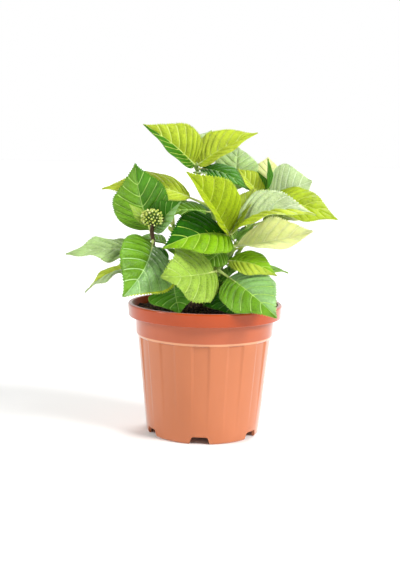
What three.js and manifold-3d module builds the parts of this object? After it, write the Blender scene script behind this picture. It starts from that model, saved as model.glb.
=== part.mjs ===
import * as THREE from 'three';
import { mergeVertices } from 'three/addons/utils/BufferGeometryUtils.js';
import Module from 'manifold-3d';

// A young hydrangea in its moulded nursery pot, in millimetres, +Z up.
// The origin is the centre of the pot's underside, and -Y is the side that shows most leaves.

// Driving dimensions of the pot
const POT_HEIGHT = 144;
const RIM_RADIUS = 85;
const RIM_BAND = 14.3;
const COLLAR_RADIUS = 76.2;
const COLLAR_BAND = 19;
const BODY_TOP_RADIUS = 73.6;
const FOOT_RADIUS = 62.3;
const WALL = 2.2;
const RIM_LAND = 4.4;
const FLOOR_UNDERSIDE = 10;
const FOOT_RING_WIDTH = 4;
const FLUTES = 12;
const FLUTE_DEPTH = 1.4;
const FLUTE_FADES_AT = 36;
const NOTCHES = 6;
const NOTCH_HEIGHT = 8.3;
const NOTCH_TOP_WIDTH = 17;
const NOTCH_FOOT_WIDTH = 23;
const NOTCH_TURN = -92.5;
const DRAIN_RADIUS = 4;
const DRAIN_RING_RADIUS = 38;

// Driving dimensions of the plant
const SOIL_LEVEL = 137;
const SOIL_SHOULDER = 8;
const SOIL_DIP = 1;
const CLEAR = 0.3;
const TRUNK_TOP = 150;
const TRUNK_FOOT_RADIUS = 4.2;
const TRUNK_TOP_RADIUS = 3.3;
const TRUNK_PLACE = [-4, 0];
const BOUGH_FOOT_RADIUS = 2.7;
const SHOOT_TIP_RADIUS = 1.7;
const LEAF_THICKNESS = 1.2;
const LEAF_STALK_RADIUS = 1.5;
const LEAF_STEPS = 8;
const LEAF_TOOTH = 0.93;
const LEAF_PROPORTION = 0.72;
const FAN_STALK = 0.3;
const DRAW_SEED = 1009;
const DRAW_FACTOR = 16807;
const DRAW_MODULUS = 2147483647;

const wasm = await Module();
wasm.setup();

const radians = THREE.MathUtils.degToRad;

function solid(geometry) {
  const bare = geometry.index ? geometry.toNonIndexed() : geometry;
  const points = new THREE.BufferGeometry();
  points.setAttribute('position', bare.getAttribute('position').clone());
  const merged = mergeVertices(points, 1e-4);
  return new wasm.Manifold(new wasm.Mesh({
    numProp: 3,
    vertProperties: new Float32Array(merged.getAttribute('position').array),
    triVerts: new Uint32Array(merged.index.array),
  }));
}

function geometryOf(body) {
  const mesh = body.getMesh();
  const geometry = new THREE.BufferGeometry();
  geometry.setAttribute('position', new THREE.BufferAttribute(new Float32Array(mesh.vertProperties), 3));
  geometry.setIndex(new THREE.BufferAttribute(new Uint32Array(mesh.triVerts), 1));
  geometry.computeVertexNormals();
  return geometry;
}

function reshape(geometry, place) {
  const position = geometry.getAttribute('position');
  const point = new THREE.Vector3();
  for (let i = 0; i < position.count; i += 1) {
    point.fromBufferAttribute(position, i);
    const moved = place(point);
    position.setXYZ(i, moved.x, moved.y, moved.z);
  }
  return geometry;
}

function join(bodies) {
  return bodies.reduce((whole, body) => whole.add(body));
}

function largestPiece(body) {
  return body.decompose().sort((a, b) => b.volume() - a.volume())[0];
}

// The pot: a turned shell whose steps round the circle are gathered at the flutes' edges
const STEPS_IN_FLUTE = [-15, -7.2, -6, 0, 6, 7.2];
const STEPS = STEPS_IN_FLUTE.length;
const FLUTE_EDGE = 6.5;
const COLLAR_CHAMFER = 3.5;
const RIM_SEAT = 1.8;

function potShell() {
  const collarFoot = POT_HEIGHT - RIM_BAND - COLLAR_BAND;
  const bodyTop = collarFoot - COLLAR_CHAMFER;
  const innerTop = POT_HEIGHT - RIM_BAND + RIM_SEAT;
  const floorTop = FLOOR_UNDERSIDE + WALL;
  const profile = [
    [0, FLOOR_UNDERSIDE],
    [FOOT_RADIUS - FOOT_RING_WIDTH, FLOOR_UNDERSIDE],
    [FOOT_RADIUS - FOOT_RING_WIDTH + 1, 0],
    [FOOT_RADIUS - 1.6, 0],
    [FOOT_RADIUS + 0.1, 1.8],
    [bodyRadius(FLUTE_FADES_AT, bodyTop), FLUTE_FADES_AT],
    [BODY_TOP_RADIUS, bodyTop],
    [COLLAR_RADIUS - 0.6, collarFoot],
    [COLLAR_RADIUS, POT_HEIGHT - RIM_BAND],
    [RIM_RADIUS - 0.8, POT_HEIGHT - RIM_BAND],
    [RIM_RADIUS, POT_HEIGHT - 1.2],
    [RIM_RADIUS - 1, POT_HEIGHT],
    [RIM_RADIUS - RIM_LAND, POT_HEIGHT],
    [RIM_RADIUS - RIM_LAND, innerTop],
    [COLLAR_RADIUS - WALL, innerTop],
    [BODY_TOP_RADIUS - WALL, bodyTop],
    [FOOT_RADIUS - WALL + 0.8, floorTop],
    [0, floorTop],
  ];
  const shell = new THREE.LatheGeometry(profile.map(([r, z]) => new THREE.Vector2(r, z)), FLUTES * STEPS);
  return reshape(shell, ({ x, y, z }) => {
    const radius = Math.hypot(x, z);
    const step = Math.round((Math.atan2(x, z) / (2 * Math.PI)) * FLUTES * STEPS);
    const wrapped = ((step % STEPS) + STEPS) % STEPS;
    const flute = (step - wrapped) / STEPS;
    const turn = NOTCH_TURN + (flute + 1) * (360 / FLUTES) + STEPS_IN_FLUTE[wrapped];
    const inFlute = Math.abs(STEPS_IN_FLUTE[wrapped]) < FLUTE_EDGE && Math.abs(y - bodyTop) < 0.01;
    const depth = inFlute ? FLUTE_DEPTH : 0;
    const angle = radians(turn);
    return new THREE.Vector3((radius - depth) * Math.cos(angle), (radius - depth) * Math.sin(angle), y);
  });
}

function bodyRadius(z, bodyTop) {
  return THREE.MathUtils.mapLinear(z, 0, bodyTop, FOOT_RADIUS, BODY_TOP_RADIUS);
}

function notch(turn) {
  const outline = new THREE.Shape();
  outline.moveTo(-NOTCH_FOOT_WIDTH / 2, -2);
  outline.lineTo(NOTCH_FOOT_WIDTH / 2, -2);
  outline.lineTo(NOTCH_TOP_WIDTH / 2, NOTCH_HEIGHT - 1.5);
  outline.lineTo(NOTCH_TOP_WIDTH / 2 - 1.8, NOTCH_HEIGHT);
  outline.lineTo(-NOTCH_TOP_WIDTH / 2 + 1.8, NOTCH_HEIGHT);
  outline.lineTo(-NOTCH_TOP_WIDTH / 2, NOTCH_HEIGHT - 1.5);
  outline.closePath();
  const cutter = new THREE.ExtrudeGeometry(outline, { depth: 20, bevelEnabled: false });
  cutter.rotateX(Math.PI / 2);
  cutter.translate(0, FOOT_RADIUS + 8, 0);
  cutter.rotateZ(radians(turn - 90));
  return solid(cutter);
}

function drainHole(turn) {
  const hole = new THREE.CylinderGeometry(DRAIN_RADIUS, DRAIN_RADIUS, 3 * WALL, 10);
  hole.rotateX(Math.PI / 2);
  hole.translate(DRAIN_RING_RADIUS, 0, FLOOR_UNDERSIDE + WALL / 2);
  hole.rotateZ(radians(turn));
  return solid(hole);
}

function makePot() {
  let pot = solid(potShell());
  for (let i = 0; i < NOTCHES; i += 1) {
    const turn = NOTCH_TURN + (i * 360) / NOTCHES;
    pot = pot.subtract(notch(turn)).subtract(drainHole(turn + 30));
  }
  return pot;
}

// The potting mix fills the pot to a little below the rim
function makeSoil() {
  const bodyTop = POT_HEIGHT - RIM_BAND - COLLAR_BAND - COLLAR_CHAMFER;
  const bottom = FLOOR_UNDERSIDE + WALL + CLEAR;
  const seat = POT_HEIGHT - RIM_BAND + RIM_SEAT + CLEAR;
  const sideClear = WALL + CLEAR + 0.3;
  const rimSide = RIM_RADIUS - RIM_LAND - CLEAR - 0.1;
  const profile = [
    [0, bottom],
    [FOOT_RADIUS - sideClear + 0.6, bottom],
    [BODY_TOP_RADIUS - sideClear - FLUTE_DEPTH, bodyTop],
    [COLLAR_RADIUS - sideClear, seat],
    [rimSide, seat],
    [rimSide, SOIL_LEVEL - SOIL_DIP],
    [rimSide - SOIL_SHOULDER, SOIL_LEVEL],
    [0, SOIL_LEVEL],
  ];
  const filling = new THREE.LatheGeometry(profile.map(([r, z]) => new THREE.Vector2(r, z)), 36);
  filling.rotateX(Math.PI / 2);
  return solid(filling);
}

// A limb is a tapering tube along a stretch of a curve, with flat ends square to it
function limb(curve, from, to, startRadius, endRadius, sides) {
  const steps = Math.max(2, Math.round(curve.getLength() * (to - from) / 12));
  const tube = new THREE.CylinderGeometry(1, 1, 1, sides, steps);
  const heading = curve.getTangentAt((from + to) / 2);
  const aside = Math.abs(heading.x) < 0.7 ? new THREE.Vector3(1, 0, 0) : new THREE.Vector3(0, 1, 0);
  return solid(reshape(tube, ({ x, y, z }) => {
    const along = 0.5 - y;
    const place = THREE.MathUtils.clamp(from + (to - from) * along, 0, 1);
    const tangent = curve.getTangentAt(place);
    const across = new THREE.Vector3().crossVectors(aside, tangent).normalize();
    const other = new THREE.Vector3().crossVectors(tangent, across);
    const radius = THREE.MathUtils.lerp(startRadius, endRadius, along);
    return curve.getPointAt(place).addScaledVector(across, x * radius).addScaledVector(other, z * radius);
  }));
}

function routeCurve(route) {
  return new THREE.CatmullRomCurve3(route.map((point) => new THREE.Vector3(...point)));
}

function placeAtHeight(curve, height) {
  let low = 0;
  let high = 1;
  for (let i = 0; i < 24; i += 1) {
    const middle = (low + high) / 2;
    if (curve.getPointAt(middle).z < height) {
      low = middle;
    } else {
      high = middle;
    }
  }
  return low;
}

// A leaf's own directions: along it, to its left, and out of its upper side
function leafAxes({ turn, rise, roll }) {
  const [t, r, o] = [radians(turn), radians(rise), radians(roll)];
  const along = new THREE.Vector3(Math.cos(r) * Math.cos(t), Math.cos(r) * Math.sin(t), Math.sin(r));
  const level = new THREE.Vector3(-Math.sin(t), Math.cos(t), 0);
  const above = new THREE.Vector3().crossVectors(along, level);
  const left = level.clone().multiplyScalar(Math.cos(o)).addScaledVector(above, Math.sin(o));
  const up = above.clone().multiplyScalar(Math.cos(o)).addScaledVector(level, -Math.sin(o));
  return { along, left, up };
}

// Half of a hydrangea leaf's width, from 0 at its base to 1 at its widest and 0 at its drawn-out tip.
// The lower the fullness, the broader the leaf's base.
function leafHalfWidth(u, fullness) {
  const taper = 1 - 0.3 * THREE.MathUtils.smoothstep(u, 0.5, 0.9);
  const tip = 1 - 0.35 * THREE.MathUtils.smoothstep(u, 0.8, 1);
  return Math.sin(Math.PI * u ** fullness) ** 0.65 * (1 - u ** 6 / 2) * taper * tip;
}

function leafParts(root, leaf) {
  const { length, width, stalk, bow = 0.08, sway = 0, fold = 10, twist = 0, fullness = 0.85 } = leaf;
  const { along, left, up } = leafAxes(leaf);
  const start = along.clone().addScaledVector(up, 4 * bow).addScaledVector(left, 4 * sway).normalize();
  const base = root.clone().addScaledVector(start, stalk);
  const rib = (u) => base.clone()
    .addScaledVector(along, length * u)
    .addScaledVector(up, 4 * bow * length * u * (1 - u))
    .addScaledVector(left, 4 * sway * length * u * (1 - u));
  const blade = new THREE.BoxGeometry(1, 1, 1, LEAF_STEPS, 2, 1);
  reshape(blade, ({ x, y, z }) => {
    const u = x + 0.5;
    const tooth = Math.round(u * LEAF_STEPS) % 2 ? 1 : LEAF_TOOTH;
    const half = Math.max(leafHalfWidth(u, fullness) * tooth * width / 2, 0.8);
    const turned = radians(twist) * (u - 0.4);
    const side = left.clone().multiplyScalar(Math.cos(turned)).addScaledVector(up, Math.sin(turned));
    const above = up.clone().multiplyScalar(Math.cos(turned)).addScaledVector(left, -Math.sin(turned));
    return rib(u)
      .addScaledVector(side, 2 * y * half * Math.cos(radians(fold)))
      .addScaledVector(above, 2 * Math.abs(y) * half * Math.sin(radians(fold)) + z * LEAF_THICKNESS);
  });
  const stalkRoute = [root, base, rib(0.1)].map((point) => point.toArray());
  return join([solid(blade), limb(routeCurve(stalkRoute), 0, 1, LEAF_STALK_RADIUS, 0.9, 4)]);
}

// Leaves in twos at the crown's far sides, spread evenly about a turn and varied by a seeded draw
let drawn = DRAW_SEED;
function draw() {
  drawn = (drawn * DRAW_FACTOR) % DRAW_MODULUS;
  return (drawn / DRAW_MODULUS) * 2 - 1;
}

function fannedLeaves(fans) {
  return fans.flatMap((fan) => [-1, 1].map((hand) => ({
    at: fan.at,
    turn: fan.turn + hand * fan.spread + 5 * draw(),
    rise: fan.rise + 5 * draw(),
    stalk: FAN_STALK * fan.length,
    length: fan.length,
    width: fan.length * LEAF_PROPORTION,
    roll: hand * -12 + 8 * draw(),
    bow: 0.12,
    fold: 12,
  })));
}

// Shoots: each leaves the trunk as a bough and grows on, past the height where it enters its mass of leaves.
// A leaf stands on its shoot at a height, and is turned from +X towards +Y, raised, and rolled to its left.
const shoots = [
  {
    name: 'left',
    route: [
      [-4, 0, 142], [-22, -9, 156], [-43, -18, 177], [-55, -25, 198], [-57, -29, 214], [-58, -34, 224], [-57, -46, 236],
    ],
    enters: 163,
    leaves: [
      { at: 168, turn: -80, rise: -27, stalk: 16, length: 50, width: 58, roll: 18 },
      { at: 184, turn: -169, rise: -23, stalk: 18, length: 70, width: 44, roll: -6, bow: 0.12, fold: 8 },
      { at: 203, turn: -156, rise: -2, stalk: 14, length: 84, width: 42, roll: -28, bow: 0.04, fold: 8 },
      {
        at: 215, turn: -112, rise: -35, stalk: 8, length: 84, width: 72, roll: -51, bow: 0.06, sway: 0.05, fold: 12,
        fullness: 0.75,
      },
      {
        at: 220, turn: 124, rise: 64, stalk: 6, length: 78, width: 64, roll: -45, bow: 0.03, sway: 0.03, fold: 16,
        fullness: 0.75,
      },
      { at: 223, turn: -31, rise: 43, stalk: 4, length: 47, width: 40, roll: 72, bow: 0.05, fold: 25 },
      { at: 226, turn: -166, rise: 47, stalk: 6, length: 31, width: 13, roll: -73, bow: 0.05 },
    ],
    fans: [],
  },
  {
    name: 'top',
    route: [[-4, 0, 146], [4, 5, 180], [9, 9, 220], [6, 11, 245], [-5, 13, 268], [-14, 16, 296]],
    enters: 232,
    leaves: [
      { at: 243, turn: -164, rise: 0, stalk: 8, length: 43, width: 30, roll: -36, bow: 0.05, fold: 8 },
      { at: 249, turn: 176, rise: 4, stalk: 26, length: 98, width: 50, roll: -34, bow: 0.11 },
      { at: 284, turn: -70, rise: 0, stalk: 2, length: 24, width: 20, roll: 5, bow: 0.1 },
      { at: 290, turn: -18, rise: -21, stalk: 5, length: 57, width: 40, roll: 21, bow: 0.12, fold: 8 },
      { at: 293, turn: -164, rise: 36, stalk: 3, length: 72, width: 60, roll: -62, bow: 0.07, fold: 38, fullness: 0.6 },
      { at: 293, turn: -7, rise: 29, stalk: 3, length: 74, width: 54, roll: 41, bow: 0.06, fold: 25, fullness: 0.6 },
      { at: 295, turn: 62, rise: 46, stalk: 8, length: 45, width: 42, roll: 9, bow: 0.03, fullness: 0.75 },
    ],
    fans: [],
  },
  {
    name: 'centre',
    route: [[-4, 0, 144], [4, -13, 162], [13, -29, 184], [24, -19, 206], [25, -23, 222]],
    enters: 158,
    leaves: [
      { at: 183, turn: -128, rise: 1, stalk: 5, length: 89, width: 66, roll: -59, bow: 0.02, sway: 0.03, fold: 6 },
      { at: 184, turn: -43, rise: -28, stalk: 20, length: 75, width: 62, roll: 32, bow: 0.05, fold: 6, fullness: 0.75 },
      { at: 193, turn: -17, rise: -14, stalk: 8, length: 55, width: 38, roll: 35, bow: 0.12, fold: 8 },
      { at: 207, turn: -155, rise: -34, stalk: 6, length: 30, width: 36, roll: -38, bow: 0.06, fold: 8 },
      { at: 208, turn: -10, rise: 13, stalk: 9, length: 84, width: 56, roll: 35, bow: -0.02, fold: 28, twist: 60 },
      { at: 220, turn: -142, rise: -7, stalk: 4, length: 86, width: 64, roll: -40, bow: 0.13, fold: 8, fullness: 0.75 },
      { at: 220, turn: -140, rise: 48, stalk: 4, length: 88, width: 68, roll: -77, bow: 0.02, sway: -0.03, fold: 42 },
      { at: 221, turn: 30, rise: 59, stalk: 4, length: 55, width: 44, roll: 12, bow: 0.02, fold: 30 },
      { at: 221, turn: -14, rise: 14, stalk: 4, length: 92, width: 62, roll: 31, bow: 0.19, fold: 25 },
    ],
    fans: [],
  },
  {
    name: 'right',
    route: [[-4, 0, 145], [18, 8, 185], [42, 14, 222], [60, 18, 248], [67, 21, 270]],
    enters: 238,
    leaves: [
      { at: 256, turn: -172, rise: 49, stalk: 6, length: 41, width: 33, roll: -55, bow: 0.02, fold: 35 },
      { at: 258, turn: -3, rise: -15, stalk: 6, length: 78, width: 54, roll: 39, bow: 0.08, fold: 8 },
      { at: 268, turn: -97, rise: 87, stalk: 2, length: 33, width: 24, roll: -101, bow: 0.02, fold: 16 },
      { at: 267, turn: -169, rise: 62, stalk: 2, length: 23, width: 16, roll: -136, bow: 0.02, fold: 16 },
    ],
    fans: [],
  },
  {
    name: 'low',
    route: [[-4, 0, 138], [8, -7, 149], [19, -13, 162], [25, -14, 172]],
    enters: 152,
    leaves: [
      { at: 160, turn: -75, rise: -19, stalk: 10, length: 54, width: 56, roll: 4, bow: 0.03, fold: 6 },
      { at: 171, turn: 14, rise: 2, stalk: 12, length: 58, width: 42, roll: 10, bow: 0.12 },
    ],
    fans: [],
  },
  {
    name: 'back',
    route: [[-4, 0, 148], [8, 18, 185], [22, 24, 225], [30, 23, 262]],
    enters: 200,
    leaves: [
      { at: 260, turn: 84, rise: 51, stalk: 8, length: 61, width: 50, roll: 4, bow: 0.12, fold: 6 },
    ],
    fans: [
      { at: 222, turn: 106, spread: 16, rise: 15, length: 54 },
    ],
  },
  {
    name: 'rear_left',
    route: [[-4, 0, 141], [-18, 14, 162], [-30, 30, 192], [-38, 38, 227]],
    enters: 170,
    leaves: [],
    fans: [
      { at: 182, turn: 125, spread: 30, rise: -12, length: 60 },
      { at: 200, turn: 122, spread: 32, rise: -3, length: 54 },
      { at: 225, turn: 134, spread: 38, rise: 28, length: 50 },
    ],
  },
  {
    name: 'rear_right',
    route: [[-4, 0, 140], [18, 16, 164], [38, 32, 200], [54, 37, 235], [65, 39, 266]],
    enters: 176,
    leaves: [
      { at: 258, turn: 10, rise: 20, stalk: 9, length: 52, width: 60, roll: 86, bow: 0.08, fold: 8 },
      { at: 265, turn: 77, rise: 68, stalk: 4, length: 39, width: 38, roll: 12, bow: 0.02, fold: 6 },
    ],
    fans: [
      { at: 180, turn: 80, spread: 24, rise: -10, length: 54 },
      { at: 203, turn: 50, spread: 32, rise: 4, length: 52 },
      { at: 226, turn: 50, spread: 34, rise: 4, length: 48 },
      { at: 256, turn: 108, spread: 36, rise: 22, length: 40 },
    ],
  },
];

// The flower head: small unopened buds in rings on a low dome
const HEAD = { place: [-57, -50, 239], radius: 11, height: 9.5, budRadius: 3.4, rings: [1, 6, 10] };

function flowerHead() {
  const core = new THREE.IcosahedronGeometry(1, 1);
  core.scale(HEAD.radius - 2, HEAD.radius - 2, HEAD.height - 1);
  const parts = [solid(core)];
  HEAD.rings.forEach((count, ring) => {
    const lean = (ring / (HEAD.rings.length - 1)) * radians(88);
    for (let i = 0; i < count; i += 1) {
      const turn = ((i + 0.5 * (ring % 2)) / count) * 2 * Math.PI;
      const bud = new THREE.OctahedronGeometry(HEAD.budRadius, 0);
      bud.rotateZ(turn);
      const across = HEAD.radius * Math.sin(lean);
      bud.translate(across * Math.cos(turn), across * Math.sin(turn), HEAD.height * Math.cos(lean));
      parts.push(solid(bud));
    }
  });
  return join(parts).rotate([20, 0, 0]).translate(HEAD.place);
}

// Assembly
const group = new THREE.Group();
const colours = {
  pot: { color: 0xb8562f, roughness: 0.42 },
  soil: { color: 0x2b1d14, roughness: 0.95 },
  stem: { color: 0x6b5a35, roughness: 0.7 },
  foliage: { color: 0x5f9a2a, roughness: 0.5 },
};

function addNode(name, body, finish) {
  const material = new THREE.MeshStandardMaterial({ ...finish, metalness: 0 });
  const mesh = new THREE.Mesh(geometryOf(body), material);
  mesh.name = name;
  group.add(mesh);
}

addNode('pot', makePot(), colours.pot);
addNode('soil', makeSoil(), colours.soil);

const trunkCurve = routeCurve([
  [...TRUNK_PLACE, SOIL_LEVEL + CLEAR],
  [...TRUNK_PLACE, (SOIL_LEVEL + TRUNK_TOP) / 2],
  [...TRUNK_PLACE, TRUNK_TOP],
]);
const trunk = (extra) => limb(trunkCurve, 0, 1, TRUNK_FOOT_RADIUS + extra, TRUNK_TOP_RADIUS + extra, 8);
addNode('trunk', trunk(0), colours.stem);

let limbsGrown = trunk(CLEAR);
for (const shoot of shoots) {
  const curve = routeCurve(shoot.route);
  const enters = placeAtHeight(curve, shoot.enters);
  const half = CLEAR / 2 / curve.getLength();
  const splitRadius = THREE.MathUtils.lerp(BOUGH_FOOT_RADIUS, SHOOT_TIP_RADIUS, enters);
  const bough = (extra) => limb(curve, 0, enters - half, BOUGH_FOOT_RADIUS + extra, splitRadius + extra, 6);
  addNode(`bough_${shoot.name}`, largestPiece(bough(0).subtract(limbsGrown)), colours.stem);
  limbsGrown = limbsGrown.add(bough(CLEAR));
  const parts = [limb(curve, enters + half, 1, splitRadius, SHOOT_TIP_RADIUS, 6)];
  for (const leaf of [...shoot.leaves, ...fannedLeaves(shoot.fans)]) {
    parts.push(leafParts(curve.getPointAt(placeAtHeight(curve, leaf.at)), leaf));
  }
  if (shoot.name === 'left') {
    parts.push(flowerHead());
  }
  addNode(`foliage_${shoot.name}`, join(parts), colours.foliage);
}

export default group;
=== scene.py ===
"""Looks of a young potted hydrangea, grown over its CAD frame.

The pot is worked out in metres, the mix and the plant in millimetres until their meshes are made.
"""

import math
import random

import bpy
import numpy as np
from bpy.props import FloatProperty, IntProperty, PointerProperty, StringProperty
from mathutils import Matrix, Vector


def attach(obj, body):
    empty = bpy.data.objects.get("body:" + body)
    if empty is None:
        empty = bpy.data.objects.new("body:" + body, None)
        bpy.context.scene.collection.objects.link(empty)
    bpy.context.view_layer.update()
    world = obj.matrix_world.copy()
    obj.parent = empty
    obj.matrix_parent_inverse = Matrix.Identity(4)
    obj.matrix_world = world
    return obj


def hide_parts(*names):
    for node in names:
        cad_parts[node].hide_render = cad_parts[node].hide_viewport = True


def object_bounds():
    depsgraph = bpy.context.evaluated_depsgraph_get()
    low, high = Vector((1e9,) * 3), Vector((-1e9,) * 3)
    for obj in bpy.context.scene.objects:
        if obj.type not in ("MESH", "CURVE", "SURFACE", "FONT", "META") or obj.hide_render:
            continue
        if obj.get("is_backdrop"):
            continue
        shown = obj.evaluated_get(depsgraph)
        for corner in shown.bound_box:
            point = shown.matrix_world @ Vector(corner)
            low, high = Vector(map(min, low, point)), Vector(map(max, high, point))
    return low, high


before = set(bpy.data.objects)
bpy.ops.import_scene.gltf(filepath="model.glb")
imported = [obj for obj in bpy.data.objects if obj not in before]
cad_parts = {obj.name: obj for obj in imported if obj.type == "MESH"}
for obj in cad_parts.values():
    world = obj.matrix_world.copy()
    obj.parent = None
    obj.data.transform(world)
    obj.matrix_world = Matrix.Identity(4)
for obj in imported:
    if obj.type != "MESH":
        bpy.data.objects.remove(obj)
CAD_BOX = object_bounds()

bl_info = {
    "name": "Potted hydrangea",
    "version": (1, 0, 0),
    "blender": (4, 5, 0),
    "location": "3D View > Sidebar > Hydrangea",
    "description": "Dresses a potted hydrangea's frame with its pot, mix, stems, leaves and flower head",
    "category": "Object",
}

MM = 0.001
BODY = "root"


def metres(name, description, default):
    return FloatProperty(name=name, description=description, default=default, unit="LENGTH")


def hex_colour(name, description, default):
    return StringProperty(name=name, description=description, default=default)


class PotSizes(bpy.types.PropertyGroup):
    """Sizes of the moulded nursery pot"""

    height: metres("Height", "Foot to rim", 0.144)
    rim_radius: metres("Rim radius", "Outside of the rim", 0.085)
    rim_band: metres("Rim band", "Height of the rim", 0.0143)
    collar_radius: metres("Collar radius", "Under the rim", 0.0762)
    collar_band: metres("Collar band", "Height of the collar", 0.019)
    body_top: metres("Body top radius", "Under the collar", 0.0736)
    foot_radius: metres("Foot radius", "At the underside", 0.0623)
    wall: metres("Wall", "Thickness of the wall", 0.0022)
    flute_depth: metres("Flute depth", "At the collar", 0.0017)
    flutes: IntProperty(name="Flutes", description="Shallow flutes round the body", default=12)


class PlantSizes(bpy.types.PropertyGroup):
    """Sizes that all leaves and stems share"""

    soil_level: metres("Soil level", "Top of the potting mix", 0.137)
    leaf_thickness: metres("Leaf thickness", "Of a blade", 0.0006)
    vein_width: metres("Vein width", "Of a side vein's furrow", 0.0006)
    quilting: FloatProperty(name="Quilting", description="Bulge between veins per leaf length", default=0.03)
    tooth: FloatProperty(name="Tooth", description="Tooth height per leaf length", default=0.02)
    seed: IntProperty(name="Seed", description="Seed of all small variations", default=7)


class Finishes(bpy.types.PropertyGroup):
    """Colours of all but the leaves, as sRGB hex values"""

    pot_rim: hex_colour("Pot rim", "Terracotta-coloured plastic", "b2450e")
    pot_wall: hex_colour("Pot wall", "Where light comes through", "c07249")
    pot_collar: hex_colour("Pot collar", "In the rim's shade", "b75e3a")
    pot_ledge: hex_colour("Pot ledge", "Rubbed pale under the collar", "dc9c74")
    soil: hex_colour("Potting mix", "Moist dark mix", "2c1c11")
    fibre: hex_colour("Fibre", "Pale coir fibres", "8a6a48")
    old_stem: hex_colour("Old stem", "Brown-purple lower stem", "5a4030")
    green_stem: hex_colour("Green stem", "This year's stem", "7d9a3c")
    petiole: hex_colour("Leaf stalk", "Pale leaf stalks", "cbd884")
    bud: hex_colour("Bud", "Unopened flowers", "b7c65a")
    bark_crumb: hex_colour("Bark crumb", "Composted bark in the mix", "4a3222")
    pale_bud: hex_colour("Pale bud", "Buds that begin to swell", "d3dc8c")
    bud_stalk: hex_colour("Bud stalk", "Inside the flower head", "5f7f2c")


# Leaf tints: the blade's upper side, its veins and its underside, as sRGB hex values
TINTS = {
    "deep": ("235c03", "669a34", "5d8434"),
    "dark": ("376f0c", "7eab48", "6f9a3c"),
    "glossy": ("79a458", "aad086", "84a562"),
    "silvery": ("aec48a", "c9dcae", "b0c990"),
    "grass": ("467c10", "8fbc54", "7da23c"),
    "mid": ("5f8c19", "a2c95e", "93b04e"),
    "sunny": ("74a00c", "a8cb48", "93b04e"),
    "fresh": ("8aa83c", "a8c160", "a3bb5a"),
    "bright": ("9cae36", "b8c964", "b0c35a"),
    "golden": ("94a916", "b6c83e", "a9bd3e"),
    "lime": ("a6b82e", "c6d766", "bccd5e"),
    "soft": ("9ab474", "b6cc92", "aac382"),
    "pale": ("adc68c", "c8dbac", "c5d5a4"),
    "washed": ("edf59c", "f2f6b8", "dfe9a4"),
}
# Roughness and specular level of a tint's upper side, and of every underside
USUAL_WAX = (0.42, 0.22)
UNDERSIDE_WAX = (0.6, 0.15)
WAX = {"glossy": (0.34, 0.9), "grass": (0.4, 0.25), "silvery": (0.34, 0.7), "mid": (0.34, 0.3),
       "deep": (0.45, 0.1), "dark": (0.4, 0.16)}
# Heights at which the pot's colour turns: at its ledge, its collar and its rim, each from and to
POT_COLOUR_TURNS = ((0.1082, 0.1086), (0.1106, 0.1112), (0.1294, 0.13))


def linear(code):
    """Turns an sRGB hex value into a linear RGBA colour."""
    shares = [int(code[i:i + 2], 16) / 255 for i in (0, 2, 4)]
    return (*[s / 12.92 if s <= 0.04045 else ((s + 0.055) / 1.055) ** 2.4 for s in shares], 1.0)


def output(source):
    """A socket as it is, or a node's first live output."""
    if isinstance(source, bpy.types.NodeSocket):
        return source
    return next(socket for socket in source.outputs if socket.enabled)


def add_node(tree, kind, inputs=None, stops=(), into=None, **settings):
    """Adds a node. Inputs are values, sockets or nodes, stops places and colours, and into is a socket."""
    node = tree.nodes.new(kind)
    for name, value in settings.items():
        setattr(node, name, value)
    for name, value in (inputs or {}).items():
        if isinstance(value, (bpy.types.Node, bpy.types.NodeSocket)):
            tree.links.new(output(value), node.inputs[name])
        else:
            node.inputs[name].default_value = value
    if stops:
        for element, (position, colour) in zip(node.color_ramp.elements, stops):
            element.position = position
            element.color = colour
    if into is not None:
        tree.links.new(output(node), into)
    return node


def new_material(name, **constants):
    """A principled material, its node tree and its shader's sockets, with its constants set on these."""
    material = bpy.data.materials.new(name)
    material.use_nodes = True
    sockets = material.node_tree.nodes["Principled BSDF"].inputs
    for socket, value in constants.items():
        sockets[socket.replace("_", " ")].default_value = value
    return material, material.node_tree, sockets


def shade(colour, k):
    """The same colour, k times as bright."""
    return (*[min(1.0, c * k) for c in colour[:3]], 1.0)


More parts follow.
